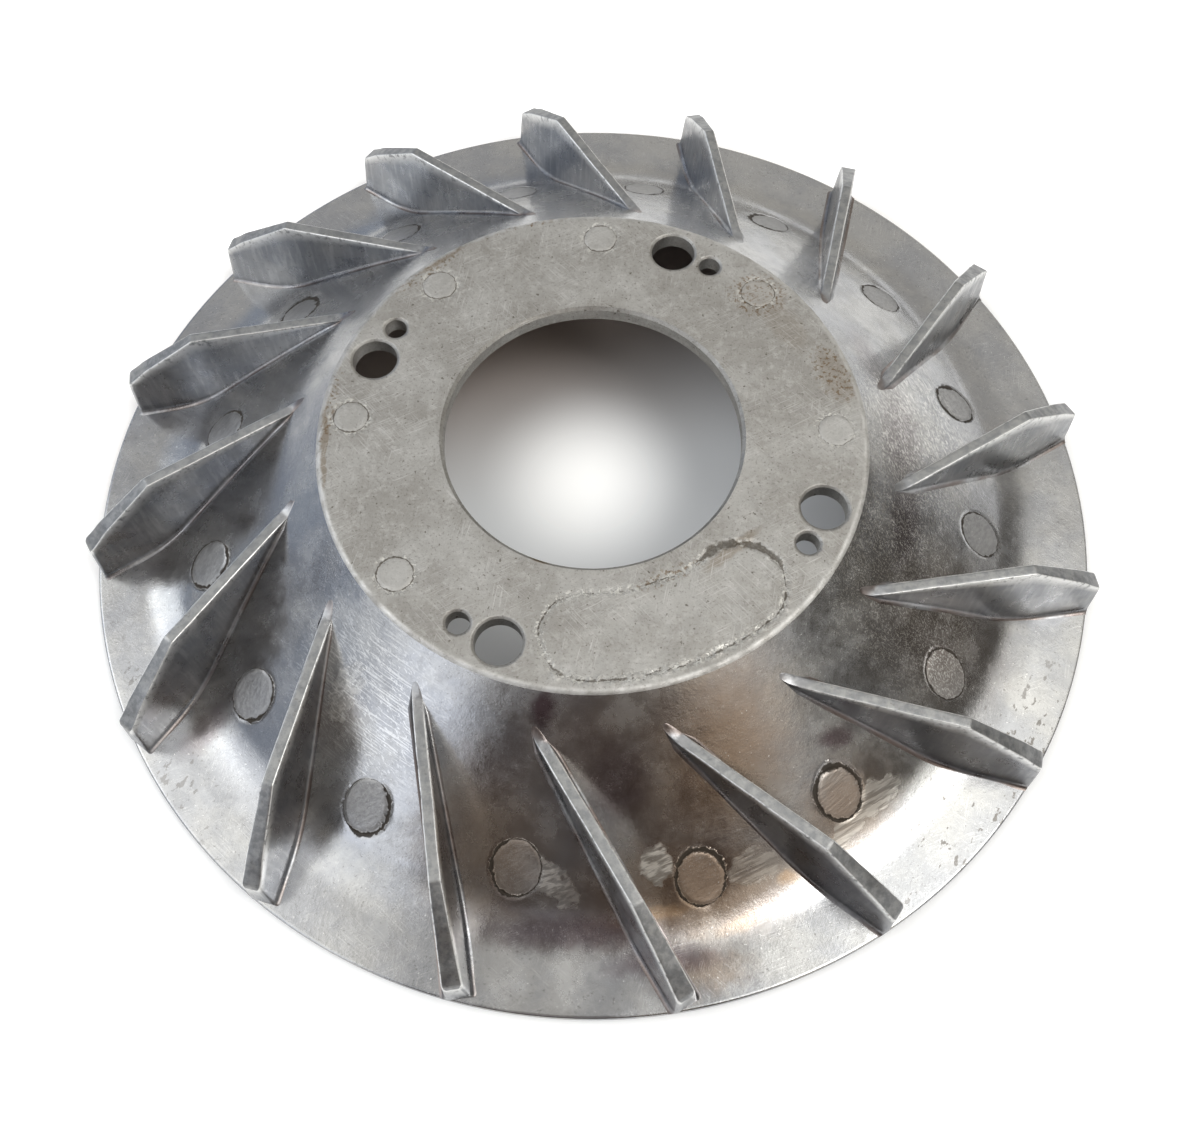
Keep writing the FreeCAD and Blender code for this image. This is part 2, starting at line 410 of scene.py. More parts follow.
class Shape:
    """The vertices with their marks, and the faces, of a piece in the making."""

    def __init__(self, vertices, edge, gap, faces):
        self.vertices = vertices
        self.edge = edge
        self.gap = gap
        self.faces = faces

    def ring(self, x, y, radius, z, turns):
        """A circle of plain vertices; gives the number of its first."""
        start = len(self.vertices)
        for t in turns:
            self.vertices.append([x + radius * math.cos(t), y + radius * math.sin(t), z])
        self.edge += [FAR_FROM_EDGE] * len(turns)
        self.gap += [0.0] * len(turns)
        return start

    def band(self, upper, lower, count, outwards):
        """Quads between two rings of this many vertices."""
        for j in range(count):
            k = (j + 1) % count
            quad = (upper + j, lower + j, lower + k, upper + k)
            self.faces.append(quad if outwards else quad[::-1])

    def finish(self, name):
        """The mesh object, without the vertices that no face uses."""
        used = sorted({v for f in self.faces for v in f})
        number = {v: i for i, v in enumerate(used)}
        return finish_piece(
            name, [self.vertices[v] for v in used],
            [tuple(number[v] for v in f) for f in self.faces],
            {"edge": [self.edge[v] for v in used], "gap": [self.gap[v] for v in used]})


def holes():
    """Centre and radius of each hole in the hub."""
    found = []
    for radius, phase in ((BOLT_HOLE_R, BOLT_HOLE_PHASE), (PIN_HOLE_R, PIN_HOLE_PHASE)):
        for i in range(4):
            a = math.radians(phase + 90 * i)
            found.append((HOLE_CIRCLE_R * math.cos(a), HOLE_CIRCLE_R * math.sin(a), radius))
    return found


def gate_distance(x, y):
    """Distance outside (+) or inside (-) of the gate scar's kidney outline, and place along it."""
    r, angle = polar(x, y)
    a = np.clip(angle, GATE_START, GATE_END)
    nearest_x = GATE_CIRCLE_R * np.cos(np.radians(a))
    nearest_y = GATE_CIRCLE_R * np.sin(np.radians(a))
    return np.hypot(x - nearest_x, y - nearest_y) - GATE_HALF_WIDTH, angle


def hub_relief(x, y):
    """Height added to the hub face, distance to the nearest scar's edge, and the width of the crack's
    painted shade there.
    """
    flat = np.stack([x, y, np.zeros_like(x)], axis=1)
    crumb = noise(flat, 0.9, 31)
    coarse = noise(flat, 3.0, 32)
    height = 0.02 * fractal(flat, 9.0, 33, 2)
    distance, angle = gate_distance(x, y)
    end = math.radians(GATE_END)
    around = np.degrees(np.arctan2(
        y - GATE_CIRCLE_R * math.sin(end), x - GATE_CIRCLE_R * math.cos(end)))
    torn = smooth_step(15, 45, around) * (1 - smooth_step(125, 150, around)) * (angle > 295)
    ragged = smooth_step(45.5, 47.5, np.hypot(x, y)) * (np.abs(distance) < 3)
    edge = np.abs(distance - 0.3 * torn - 0.3 * coarse - 0.12 * crumb)
    gap = 0.10 + 0.06 * coarse + 0.75 * torn + 0.08 * ragged
    groove = 1 - smooth_step(0.2, 1.0, edge / (gap + 0.25))
    height -= (0.10 + 0.22 * torn + 0.08 * ragged) * groove
    height += 0.05 * (1 - smooth_step(-0.8, 0.2, distance))
    lump = smooth_step(0.1, 0.6, crumb) * (1 - smooth_step(0.4, 1.5, np.abs(distance - 0.4)))
    height += 0.2 * lump * (0.2 + torn + ragged)
    for i in range(HUB_PADS):
        a = math.radians(HUB_PAD_PHASE + i * HUB_PAD_PITCH)
        q = np.hypot(x - HUB_PAD_CIRCLE_R * math.cos(a), y - HUB_PAD_CIRCLE_R * math.sin(a))
        inside = 1 - smooth_step(HUB_PAD_R - 0.2, HUB_PAD_R + 0.05, q)
        outline = q - HUB_PAD_R - 0.1 * crumb
        ring = 1 - smooth_step(0.3, 1.0, np.abs(outline) / PAD_RING_HALF)
        height += inside * HUB_PAD_LIFT
        height -= ring * PAD_RING_DEPTH
        nearer = q < HUB_PAD_R + 1.5
        edge = np.where(nearer, outline, edge)
        gap = np.where(nearer, 0.05 + 0.07 * coarse + 0.02 * i, gap)
    return height, edge, np.maximum(gap, 0.01)


def hub_top():
    """The hub's face from the bore's chamfer out to the skirt, and its last row's first vertex."""
    profile = [(r, HUB_TOP) for r in spaced([(BORE_R + HUB_CHAMFER, HUB_ROW), (HUB_R - 0.9, 1)])]
    edge_reach = HUB_EDGE_ROUND * math.tan(CONE_ANGLE / 2)
    for step in (0.0, 0.25, 0.5, 0.75, 1.0):
        a = CONE_ANGLE * step
        profile.append((HUB_R - edge_reach + HUB_EDGE_ROUND * math.sin(a),
                        HUB_TOP - HUB_EDGE_ROUND * (1 - math.cos(a))))
    profile.append((SPLIT_R, float(cone_z(SPLIT_R))))
    r, z = np.repeat(np.array(profile), HUB_COLUMNS, axis=0).T
    angle = np.tile(np.linspace(0, 2 * math.pi, HUB_COLUMNS, endpoint=False), len(profile))
    x = r * np.cos(angle)
    y = r * np.sin(angle)
    extra, edge, gap = hub_relief(x, y)
    fade = smooth_step(BORE_R + 0.8, BORE_R + 1.6, r)
    fade *= 1 - smooth_step(HUB_R - 1.6, HUB_R - 0.8, r)
    for cx, cy, hole_r in holes():
        fade *= smooth_step(hole_r + 0.5, hole_r + 1.2, np.hypot(x - cx, y - cy))
    z = np.minimum(z + extra * fade, HIGHEST)
    faces = grid_faces(len(profile), HUB_COLUMNS, False)
    vertices = np.stack([x, y, z], axis=1).tolist()
    shape = Shape(vertices, edge.tolist(), (gap * fade).tolist(), faces)
    return shape, (len(profile) - 1) * HUB_COLUMNS


def hub_walls(shape, last_row):
    """Outer wall, underside, and the bore's wall with its chamfers."""
    turns = np.linspace(0, 2 * math.pi, HUB_COLUMNS, endpoint=False)
    under = spaced([(BORE_R + LOWER_CHAMFER, 2.4), (SPLIT_R - 1.5, 1)])[::-1]
    profile = [(SPLIT_R, HUB_UNDERSIDE)]
    profile += [(r, HUB_UNDERSIDE) for r in under]
    profile += [(BORE_R, HUB_UNDERSIDE + LOWER_CHAMFER), (BORE_R, HUB_TOP - HUB_CHAMFER)]
    previous = last_row
    for radius, height in profile:
        row = shape.ring(0, 0, radius, height, turns)
        shape.band(previous, row, HUB_COLUMNS, True)
        previous = row
    shape.band(previous, 0, HUB_COLUMNS, True)


def cut_hole(shape, points, cx, cy, hole_r):
    """Cut both faces' grids away around a hole, fill up to a clean circle and add the wall."""
    near = np.hypot(points[:, 0] - cx, points[:, 1] - cy) < hole_r + HOLE_CLEAR
    kept = []
    gone = {"top": [], "low": []}
    for f in shape.faces:
        if any(near[v] for v in f if v < len(near)):
            high = all(points[v][2] > HUB_UNDERSIDE + 1 for v in f)
            gone["top" if high else "low"].append(f)
        else:
            kept.append(f)
    shape.faces = kept
    turns = [2 * math.pi * i / HOLE_POINTS for i in range(HOLE_POINTS)]
    rims = {}
    for level, height in (("top", HUB_TOP), ("low", HUB_UNDERSIDE)):
        rims[level] = shape.ring(cx, cy, hole_r + HOLE_LIP, height, turns)
        shape.faces += fill_between(
            shape.vertices, open_loop(gone[level]), rims[level], HOLE_POINTS, level == "top")
    previous = rims["top"]
    heights = np.linspace(HUB_TOP - HOLE_LIP, HUB_UNDERSIDE + HOLE_LIP, HOLE_RINGS)
    for number, height in enumerate(heights):
        ridge = HOLE_RIDGE if number % 2 else 0.0
        row = shape.ring(cx, cy, hole_r + ridge, height, turns)
        shape.band(previous, row, HOLE_POINTS, False)
        previous = row
    shape.band(previous, rims["low"], HOLE_POINTS, False)


def hub_casting():
    shape, last_row = hub_top()
    hub_walls(shape, last_row)
    points = np.array(shape.vertices)
    for cx, cy, hole_r in holes():
        cut_hole(shape, points, cx, cy, hole_r)
    return shape.finish("hub_casting")


def open_loop(gone):
    """The edges on the outline of the faces that were cut away."""
    count = {}
    for f in gone:
        for a, b in zip(f, f[1:] + f[:1]):
            key = (min(a, b), max(a, b))
            count[key] = count.get(key, 0) + 1
    return [edge for edge, n in count.items() if n == 1]


def fill_between(vertices, loop_edges, start, count, upwards):
    """Triangles between an outline and the circle of vertices from start."""
    ids = sorted({v for e in loop_edges for v in e})
    ids += list(range(start, start + count))
    place = {v: i for i, v in enumerate(ids)}
    flat = [Vector((vertices[v][0], vertices[v][1])) for v in ids]
    edges = [(place[a], place[b]) for a, b in loop_edges]
    first = place[start]
    edges += [(first + i, first + (i + 1) % count) for i in range(count)]
    _, _, triangles, origin, _, _ = delaunay_2d_cdt(flat, edges, [], 4, 1e-7)
    centre = sum((flat[first + i] for i in range(count)), Vector((0, 0))) / count
    inner = (flat[first] - centre).length * 0.985
    made = []
    for t in triangles:
        corners_2d = [flat[origin[v][0]] for v in t]
        middle = sum(corners_2d, Vector((0, 0))) / 3
        if (middle - centre).length < inner:
            continue
        ids3 = tuple(ids[origin[v][0]] for v in t)
        a, b, c = corners_2d
        counterclockwise = (b - a).cross(c - a) > 0
        made.append(ids3 if counterclockwise == upwards else ids3[::-1])
    return made


# Blades
FILLET_STEPS = 5
SIDE_STEPS = 5
EDGE_STEPS = 3
TOP_STEPS = 4
SINK = 0.4
BLADE_START = -1.6
TIP_ROUND = 0.7
EDGE_REACH = 0.26
CREST_BLEND = 1.0
SIDE_WANDER = 0.05
NICK_PUSH = 0.025
NICK_DEPTH = 0.09


def blade_frame(number):
    """Origin, heading and sideways direction in plan of a blade, and its length."""
    tip_angle = math.radians(BLADE_TIP_PHASE + number * BLADE_PITCH)
    root_angle = tip_angle - math.radians(BLADE_SWEEP)
    root = np.array([math.cos(root_angle), math.sin(root_angle)]) * BLADE_ROOT_R
    tip = np.array([math.cos(tip_angle), math.sin(tip_angle)]) * BLADE_TIP_R
    length = float(np.linalg.norm(tip - root))
    ahead = (tip - root) / length
    side = np.array([-ahead[1], ahead[0]])
    return root, ahead, side, length


def round_corner_2d(before, corner, after, reach, steps):
    """Points of an arc that rounds a corner, starting this far from it."""
    into = (before - corner) / np.linalg.norm(before - corner)
    out = (after - corner) / np.linalg.norm(after - corner)
    half = math.acos(float(np.clip(into @ out, -1, 1))) / 2
    radius = reach * math.tan(half)
    axis = (into + out) / max(np.linalg.norm(into + out), 1e-9)
    centre = corner + axis * (radius / max(math.sin(half), 1e-6))
    start = corner + into * reach
    end = corner + out * reach
    a0 = math.atan2(*(start - centre)[::-1])
    a1 = math.atan2(*(end - centre)[::-1])
    turn = (a1 - a0 + math.pi) % (2 * math.pi) - math.pi
    return [
        centre + radius * np.array([math.cos(a0 + turn * i / steps), math.sin(a0 + turn * i / steps)])
        for i in range(steps + 1)
    ]


def blade_section(s, top, root, ahead, side, thin, drop):
    """One closed cross-section: (sideways, height) points from foot to foot."""
    half_top = BLADE_TOP_THICKNESS / 2
    flanks = {}
    for sign in (1, -1):
        def surface(y):
            p = root + ahead * s + side * y
            return float(skirt_z(np.array(np.hypot(p[0], p[1]))))

        def half(z):
            return half_top + BLADE_DRAFT / 2 * (BLADE_TOP - z) - thin

        foot_z = surface(0)
        for _ in range(4):
            foot_z = surface(sign * half(foot_z))
        corner = np.array([sign * half(foot_z), foot_z])
        height = max(top - drop - foot_z, 0.02)
        along = np.array([sign * half(foot_z + 1), foot_z + 1]) - corner
        away = np.array([sign, surface(sign * (half(foot_z) + 1)) - foot_z])
        reach = min(BLADE_FILLET, 0.7 * height)
        fillet = round_corner_2d(corner + away, corner, corner + along, reach, FILLET_STEPS)
        top_z = max(top - drop, foot_z + 0.02)
        crest = np.array([sign * half(top_z), top_z])
        edge = round_corner_2d(
            fillet[-1], crest, np.array([0.0, top_z]), min(EDGE_REACH, 0.25 * height), EDGE_STEPS)
        wall = [fillet[-1] + (edge[0] - fillet[-1]) * i / SIDE_STEPS for i in range(1, SIDE_STEPS)]
        sunk = fillet[0] + np.array([0.0, -SINK])
        flanks[sign] = [sunk] + fillet + wall + edge
    left = flanks[1]
    right = flanks[-1][::-1]
    crown = [left[-1] + (right[0] - left[-1]) * i / TOP_STEPS for i in range(1, TOP_STEPS)]
    return np.array(left + crown + right)


def blade_stations(length):
    """Places along a blade, each with how much the rounded tip takes off there."""
    knee = BLADE_KNEE * length
    stops = [(BLADE_START, 0.3), (2.6, 1.1), (knee - 1.2, 0.4), (knee + 1.2, 1.0),
             (length - TIP_ROUND, 1)]
    stations = [(s, 0.0) for s in spaced(stops)]
    for step in (20, 40, 60, 75, 90):
        a = math.radians(step)
        stations.append((length - TIP_ROUND * (1 - math.sin(a)), TIP_ROUND * (1 - math.cos(a))))
    return stations


def crest_height(s, length, ground_z):
    """A blade's crest: two straight stretches that melt into the skirt at the root."""
    knee = BLADE_KNEE * length
    if s < knee:
        line = BLADE_TOP + (BLADE_KNEE_TOP - BLADE_TOP) * s / knee
    else:
        line = BLADE_KNEE_TOP + (BLADE_TIP_TOP - BLADE_KNEE_TOP) * (s - knee) / (length - knee)
    mix = max(CREST_BLEND - abs(line - ground_z), 0) / CREST_BLEND
    return max(line, ground_z) + mix * mix * CREST_BLEND / 4 - CREST_SINK


def blade_rows(number):
    """A blade's sections one after the other, in space and in the blade's own directions."""
    root, ahead, side, length = blade_frame(number)
    rows = []
    local = []
    for s, thin in blade_stations(length):
        ground_z = skirt_height(root + ahead * s)
        top = crest_height(s, length, ground_z)
        nose = min(max((NOSE_LENGTH + BLADE_START - s) / NOSE_LENGTH, 0.0), 1.0)
        narrow = thin * 0.8 + NOSE_NARROWING * (1 - math.sqrt(1 - nose * nose))
        section = blade_section(s, top, root, ahead, side, narrow, thin * 0.9)
        end_pull = smooth_step(length - 6, length, np.array(s)) * BLADE_TIP_LEAN
        rise = np.clip((section[:, 1] - RIM_THICKNESS) / (BLADE_TIP_TOP - RIM_THICKNESS), 0, 1.2)
        along = s - end_pull * rise
        x = root[0] + ahead[0] * along + side[0] * section[:, 0]
        y = root[1] + ahead[1] * along + side[1] * section[:, 0]
        rows.append(np.stack([x, y, section[:, 1]], axis=1))
        local.append(np.stack([np.full(len(section), s), section[:, 0], section[:, 1]], axis=1))
    return rows, np.concatenate(local)


def skirt_height(place):
    """Height of the skirt's surface at a place in plan."""
    return float(skirt_z(np.array(np.hypot(place[0], place[1]))))


def height_over_skirt(vertices):
    return vertices[:, 2] - skirt_z(np.hypot(vertices[:, 0], vertices[:, 1]))


def blade_casting(number):
    rows, local = blade_rows(number)
    _, _, side, length = blade_frame(number)
    seed = 100 + number
    count = len(rows[0])
    vertices = np.concatenate(rows)

    # Cast and worn: the sides wander a little, and the edges are nicked.
    wander = SIDE_WANDER * fractal(local + number * 50.0, 8.0, seed, 2)
    nick = noise(local + number * 50.0, 1.3, seed + 1)
    index = np.tile(np.arange(count), len(rows))
    crest_first = 1 + FILLET_STEPS + SIDE_STEPS
    crest_last = count - 1 - crest_first
    on_edge = (np.abs(index - crest_first - 1) < 2) | (np.abs(index - crest_last + 1) < 2)
    above = smooth_step(0.8, 2.5, height_over_skirt(vertices))
    push = (wander + NICK_PUSH * nick * on_edge) * above
    vertices[:, 0] += side[0] * push
    vertices[:, 1] += side[1] * push
    vertices[:, 2] -= NICK_DEPTH * np.maximum(nick - 0.3, 0) * on_edge * above
    pull = np.minimum(1, (RIM_R - CLEARANCE) / np.hypot(vertices[:, 0], vertices[:, 1]))
    vertices[:, 0] *= pull
    vertices[:, 1] *= pull

    # Marks for the material: the crest, its edges (for a painted highlight), its sloping end, and the
    # painted shade along the foot.
    on_crest = (index >= crest_first) & (index <= crest_last)
    foot = 0.9 * (1 - smooth_step(0.05, 0.55, height_over_skirt(vertices)))
    foot *= smooth_step(-0.6, 0.3, noise(local + 9.0, 5.0, seed + 5))
    knee = BLADE_KNEE * length
    slope = on_crest * smooth_step(knee + 0.3, knee + 1.5, local[:, 0])
    faces = grid_faces(len(rows), count, False)
    faces.append(tuple(range(count)))
    last = (len(rows) - 1) * count
    faces.append(tuple(range(last, last + count))[::-1])
    return finish_piece(
        "blade_casting_%02d" % (number + 1), vertices, faces,
        {"crest": on_crest * above, "rim": on_edge * above, "foot": foot, "slope": slope})


# Materials
class Nodes:
    """A short hand for building a node material."""

    def __init__(self, name):
        self.material = bpy.data.materials.new(name)
        self.material.use_nodes = True
        self.tree = self.material.node_tree
        self.tree.nodes.clear()
        self.shader = self.add("ShaderNodeBsdfPrincipled")
        output = self.add("ShaderNodeOutputMaterial")
        self.join(self.shader.outputs["BSDF"], output.inputs["Surface"])
        self.place = self.add("ShaderNodeTexCoord").outputs["Object"]

    def add(self, kind, **settings):
        node = self.tree.nodes.new(kind)
        for key, value in settings.items():
            setattr(node, key, value)
        return node

    def join(self, source, target):
        self.tree.links.new(source, target)

    def set(self, socket, value):
        if isinstance(value, bpy.types.NodeSocket):
            self.join(value, socket)
        else:
            socket.default_value = value

    def framed(self, place, at_mm, turn, scale):
        """A place as it lies in a frame that is put somewhere, turned in plan and scaled."""
        node = self.add("ShaderNodeMapping", vector_type="TEXTURE")
        self.join(place, node.inputs["Vector"])
        node.inputs["Location"].default_value = (at_mm[0] * MM, at_mm[1] * MM, 0.0)
        node.inputs["Rotation"].default_value = (0, 0, math.radians(turn))
        node.inputs["Scale"].default_value = scale
        return node.outputs["Vector"]

    def turned(self, turn, stretch):
        """The place, for noise that is stretched along a direction in plan."""
        return self.framed(self.place, (0, 0), turn, (stretch, 1.0, 1.0))

    def shaken(self, size_mm, detail, reach_mm):
        """The place, pushed about in plan by noise of this size."""
        push = self.add("ShaderNodeTexNoise")
        self.join(self.place, push.inputs["Vector"])
        push.inputs["Scale"].default_value = 1000.0 / size_mm
        push.inputs["Detail"].default_value = detail
        move = self.add("ShaderNodeVectorMath", operation="MULTIPLY_ADD")
        self.join(push.outputs["Color"], move.inputs[0])
        move.inputs[1].default_value = (reach_mm * MM, reach_mm * MM, 0.0)
        self.join(self.place, move.inputs[2])
        return move.outputs["Vector"]

    def noise(self, size_mm, detail, rough, place=None, distortion=0.0):
        node = self.add("ShaderNodeTexNoise")
        self.join(place or self.place, node.inputs["Vector"])
        node.inputs["Scale"].default_value = 1000.0 / size_mm
        node.inputs["Detail"].default_value = detail
        node.inputs["Roughness"].default_value = rough
        node.inputs["Distortion"].default_value = distortion
        return node.outputs["Fac"]

    def ramp(self, value, low, high, from_value=0.0, to_value=1.0, smooth=True):
        node = self.add("ShaderNodeMapRange")
        node.interpolation_type = "SMOOTHSTEP" if smooth else "LINEAR"
        self.set(node.inputs["Value"], value)
        node.inputs["From Min"].default_value = low
        node.inputs["From Max"].default_value = high
        node.inputs["To Min"].default_value = from_value
        node.inputs["To Max"].default_value = to_value
        return node.outputs["Result"]

    def math(self, operation, a, b=0.0, clamp=False):
        node = self.add("ShaderNodeMath", operation=operation, use_clamp=clamp)
        self.set(node.inputs[0], a)
        self.set(node.inputs[1], b)
        return node.outputs["Value"]

    def times(self, a, b):
        return self.math("MULTIPLY", a, b)

    def grain(self, size_mm, detail, rough, low, high):
        """Noise of this size, pushed apart so that it runs from 0 at low to 1 at high."""
        return self.ramp(self.noise(size_mm, detail, rough), low, high)

    def mix(self, factor, a, b):
        node = self.add("ShaderNodeMix", data_type="RGBA")
        self.set(node.inputs["Factor"], factor)
        self.set(node.inputs["A"], a)
        self.set(node.inputs["B"], b)
        return node.outputs["Result"]

    def tint(self, colour, mask, strength, other):
        """The colour, with another one laid over it by the mask, this strongly."""
        return self.mix(self.times(mask, strength), colour, other)

    def mark(self, name):
        return self.add("ShaderNodeAttribute", attribute_name=name).outputs["Fac"]

    def bump(self, height, strength, distance_mm, below=None):
        node = self.add("ShaderNodeBump")
        node.inputs["Strength"].default_value = strength
        node.inputs["Distance"].default_value = distance_mm * MM
        self.join(height, node.inputs["Height"])
        if below is not None:
            self.join(below, node.inputs["Normal"])
        return node.outputs["Normal"]

    def scratches(self, size_mm, stretch, turn, sharpness):
        """Long thin streaks in one direction, in patches, 0 to 1."""
        bent = self.shaken(14.0, 2.0, 1.5)
        place = self.framed(bent, (0.31 * turn, 0.0), turn, (stretch, 1.0, 1.0))
        streak = self.noise(size_mm, 1.0, 0.5, place)
        patch = self.ramp(self.noise(9.0 + 0.05 * abs(turn), 3, 0.6), 0.46, 0.62)
        return self.times(self.ramp(streak, sharpness, sharpness + 0.04), patch)

    def spots(self, rows, ragged_mm=1.2, soft=0.35):
        """Ragged ovals at (x, y, half length, half width, turn, strength), in mm and degrees."""
        ragged = self.shaken(2.2, 4.0, 2 * ragged_mm)
        total = None
        for x, y, long_half, short_half, turn, strength in rows:
            size = (long_half * MM, short_half * MM, 1.0)
            far = self.add("ShaderNodeVectorMath", operation="LENGTH")
            self.join(self.framed(ragged, (x + ragged_mm, y + ragged_mm), turn, size), far.inputs[0])
            spot = self.ramp(far.outputs["Value"], 1.0 - soft, 1.0 + soft, strength, 0.0)
            total = spot if total is None else self.math("MAXIMUM", total, spot)
        return total

    def crack(self, crumb_mm):
        """Painted shade in a crack: a dark line along the edge marked on the mesh, as wide as marked
        there, 0 to 1.
        """
        crumbs = self.ramp(self.noise(0.7, 3, 0.6), 0.25, 0.75, -crumb_mm, crumb_mm, False)
        off = self.math("ABSOLUTE", self.math("ADD", self.mark("edge"), crumbs))
        wide = self.ramp(self.noise(1.9, 2, 0.6), 0.35, 0.65, 0.2, 1.2, False)
        wide = self.times(self.mark("gap"), wide)
        wide = self.math("MAXIMUM", wide, 0.004)
        return self.ramp(self.math("DIVIDE", off, wide), 0.6, 1.5, 1.0, 0.0)

    def finish(self, colour, metallic, rough, normal):
        self.set(self.shader.inputs["Base Color"], colour)
        self.set(self.shader.inputs["Metallic"], metallic)
        self.set(self.shader.inputs["Roughness"], rough)
        self.set(self.shader.inputs["Normal"], normal)
        return self.material


def rgb(r, g, b):
    return (r, g, b, 1.0)


# Marks on the hub's face and the skirt, in millimetres and degrees. Each row is
# (x, y, half length, half width, turn, strength).
HUB_STAINS = (
    (-22.6, 46.9, 7.0, 0.7, 26, 0.9),
    (-31.0, 39.0, 6.0, 0.6, 38, 0.5),
    (32.2, 31.5, 4.8, 4.2, 0, 0.28),
    (37.0, 24.0, 6.0, 3.0, 120, 0.22),
    (45.6, 13.0, 6.0, 2.6, 110, 0.30),
    (-8.9, -26.2, 1.8, 0.7, -15, 0.9),
    (25.0, -24.0, 6.0, 1.2, 40, 0.45),
    (-49.3, -3.0, 12.0, 0.5, 95, 0.5),
)
HUB_DIRT = (
    (31.8, 31.5, 5.4, 5.0, 0, 0.9),
    (45.2, 13.5, 6.5, 3.4, 110, 0.8),
    (-22.6, 46.3, 9.0, 1.6, 26, 1.0),
    (-13.5, 48.6, 9.0, 0.9, 16, 1.0),
    (-33.0, 36.6, 8.0, 1.4, 42, 0.8),
    (-49.0, 4.0, 9.0, 1.0, 85, 0.7),
    (14.0, -29.0, 7.0, 1.5, 25, 0.7),
)


def hub_material():
    n = Nodes("hub_face_cast")
    patches = n.grain(15.0, 5, 0.65, 0.38, 0.62)
    colour = n.mix(patches, rgb(0.365, 0.352, 0.330), rgb(0.455, 0.445, 0.425))
    cloud = n.ramp(n.noise(6.0, 5, 0.75, None, 0.5), 0.45, 0.72)
    colour = n.tint(colour, cloud, 0.42, rgb(0.28, 0.262, 0.238))
    pale = n.grain(1.7, 5, 0.75, 0.48, 0.72)
    colour = n.tint(colour, pale, 0.55, rgb(0.60, 0.59, 0.57))
    grit = n.grain(0.55, 4, 0.75, 0.52, 0.68)
    colour = n.tint(colour, grit, 0.60, rgb(0.185, 0.172, 0.155))
    pits = n.grain(0.9, 2, 0.5, 0.68, 0.74)
    colour = n.tint(colour, pits, 0.75, rgb(0.10, 0.085, 0.065))
    stain = n.spots(HUB_STAINS, 0.8)
    colour = n.mix(stain, colour, rgb(0.20, 0.145, 0.085))
    dirt = n.spots(HUB_DIRT, 1.0)
    flecks = n.grain(0.8, 3, 0.6, 0.52, 0.60)
    colour = n.tint(colour, dirt, flecks, rgb(0.175, 0.115, 0.062))
    # Painted highlight: a pale ring along the hub's rounded outer edge, broken up by noise; the edge
    # is also made a little less rough.
    flat = n.add("ShaderNodeVectorMath", operation="MULTIPLY")
    n.join(n.place, flat.inputs[0])
    flat.inputs[1].default_value = (1.0, 1.0, 0.0)
    out = n.add("ShaderNodeVectorMath", operation="LENGTH")
    n.join(flat.outputs["Vector"], out.inputs[0])
    hub_edge_highlight = n.ramp(out.outputs["Value"], (HUB_R - 0.7) * MM, (HUB_R - 0.1) * MM)
    hub_edge_highlight = n.times(hub_edge_highlight, n.ramp(n.noise(3.0, 4, 0.6), 0.38, 0.62, 0.15, 1.0))
    colour = n.tint(colour, hub_edge_highlight, 0.6, rgb(0.66, 0.655, 0.64))
    marks = n.scratches(0.16, 40, 28, 0.62)
    marks = n.math("MAXIMUM", marks, n.scratches(0.16, 40, -47, 0.62))
    marks = n.math("MAXIMUM", marks, n.scratches(0.2, 30, 80, 0.64))
    colour = n.tint(colour, marks, 0.42, rgb(0.70, 0.69, 0.68))
    edge = n.mark("edge")
    disc = n.ramp(edge, -0.15, 0.0, 1.0, 0.0)
    colour = n.tint(colour, disc, 0.30, rgb(0.56, 0.555, 0.54))
    crumbs = n.grain(0.75, 3, 0.6, 0.50, 0.58)
    crumbs = n.times(crumbs, n.ramp(edge, 0.3, 1.3, 1.0, 0.0))
    crumbs = n.times(crumbs, n.ramp(edge, -0.2, 0.0))
    colour = n.tint(colour, crumbs, 0.70, rgb(0.66, 0.65, 0.61))
    # Painted shade: the cracks round the gate scar and the pin marks are painted dark, widest along
    # the torn end of the scar.
    crack = n.crack(0.13)
    colour = n.tint(colour, crack, 0.62, rgb(0.095, 0.075, 0.05))
    rough = n.ramp(n.noise(4.0, 5, 0.65), 0.3, 0.7, 0.42, 0.64)
    rough = n.math("ADD", rough, n.times(crack, 0.3), clamp=True)
    rough = n.math("SUBTRACT", rough, n.times(hub_edge_highlight, 0.06), clamp=True)
    normal = n.bump(n.noise(0.4, 5, 0.7), 0.5, 0.06)
    normal = n.bump(marks, 0.3, 0.03, normal)
    normal = n.bump(n.math("SUBTRACT", crumbs, crack), 0.6, 0.16, normal)
    normal = n.bump(n.noise(5.0, 4, 0.6), 0.35, 0.25, normal)
    return n.finish(colour, 0.85, rough, normal)


# Painted reflection: soft brown patches over the near skirt, where the metal mirrors the dark brown
# part of the room.
BROWN_REFLECTION_PATCHES = (
    (22.0, -60.0, 14.0, 11.0, 70, 0.75),
    (18.0, -78.0, 16.0, 8.0, 10, 0.75),
    (46.0, -64.0, 10.0, 6.0, 40, 0.60),
    (-17.5, -72.0, 9.0, 11.0, 0, 0.60),
    (-2.0, -58.0, 8.0, 6.0, 0, 0.35),
    (-46.0, -52.0, 5.0, 4.0, 0, 0.25),
    (64.0, -32.0, 12.0, 12.0, 0, 0.35),
    (20.0, -92.0, 7.0, 3.0, 12, 0.55),
)
ORANGE_STAINS = (
    (35.5, -76.0, 1.8, 1.1, 20, 0.50),
    (13.5, -82.5, 4.0, 1.0, 10, 0.45),
    (27.0, -84.0, 4.0, 1.2, 25, 0.25),
)
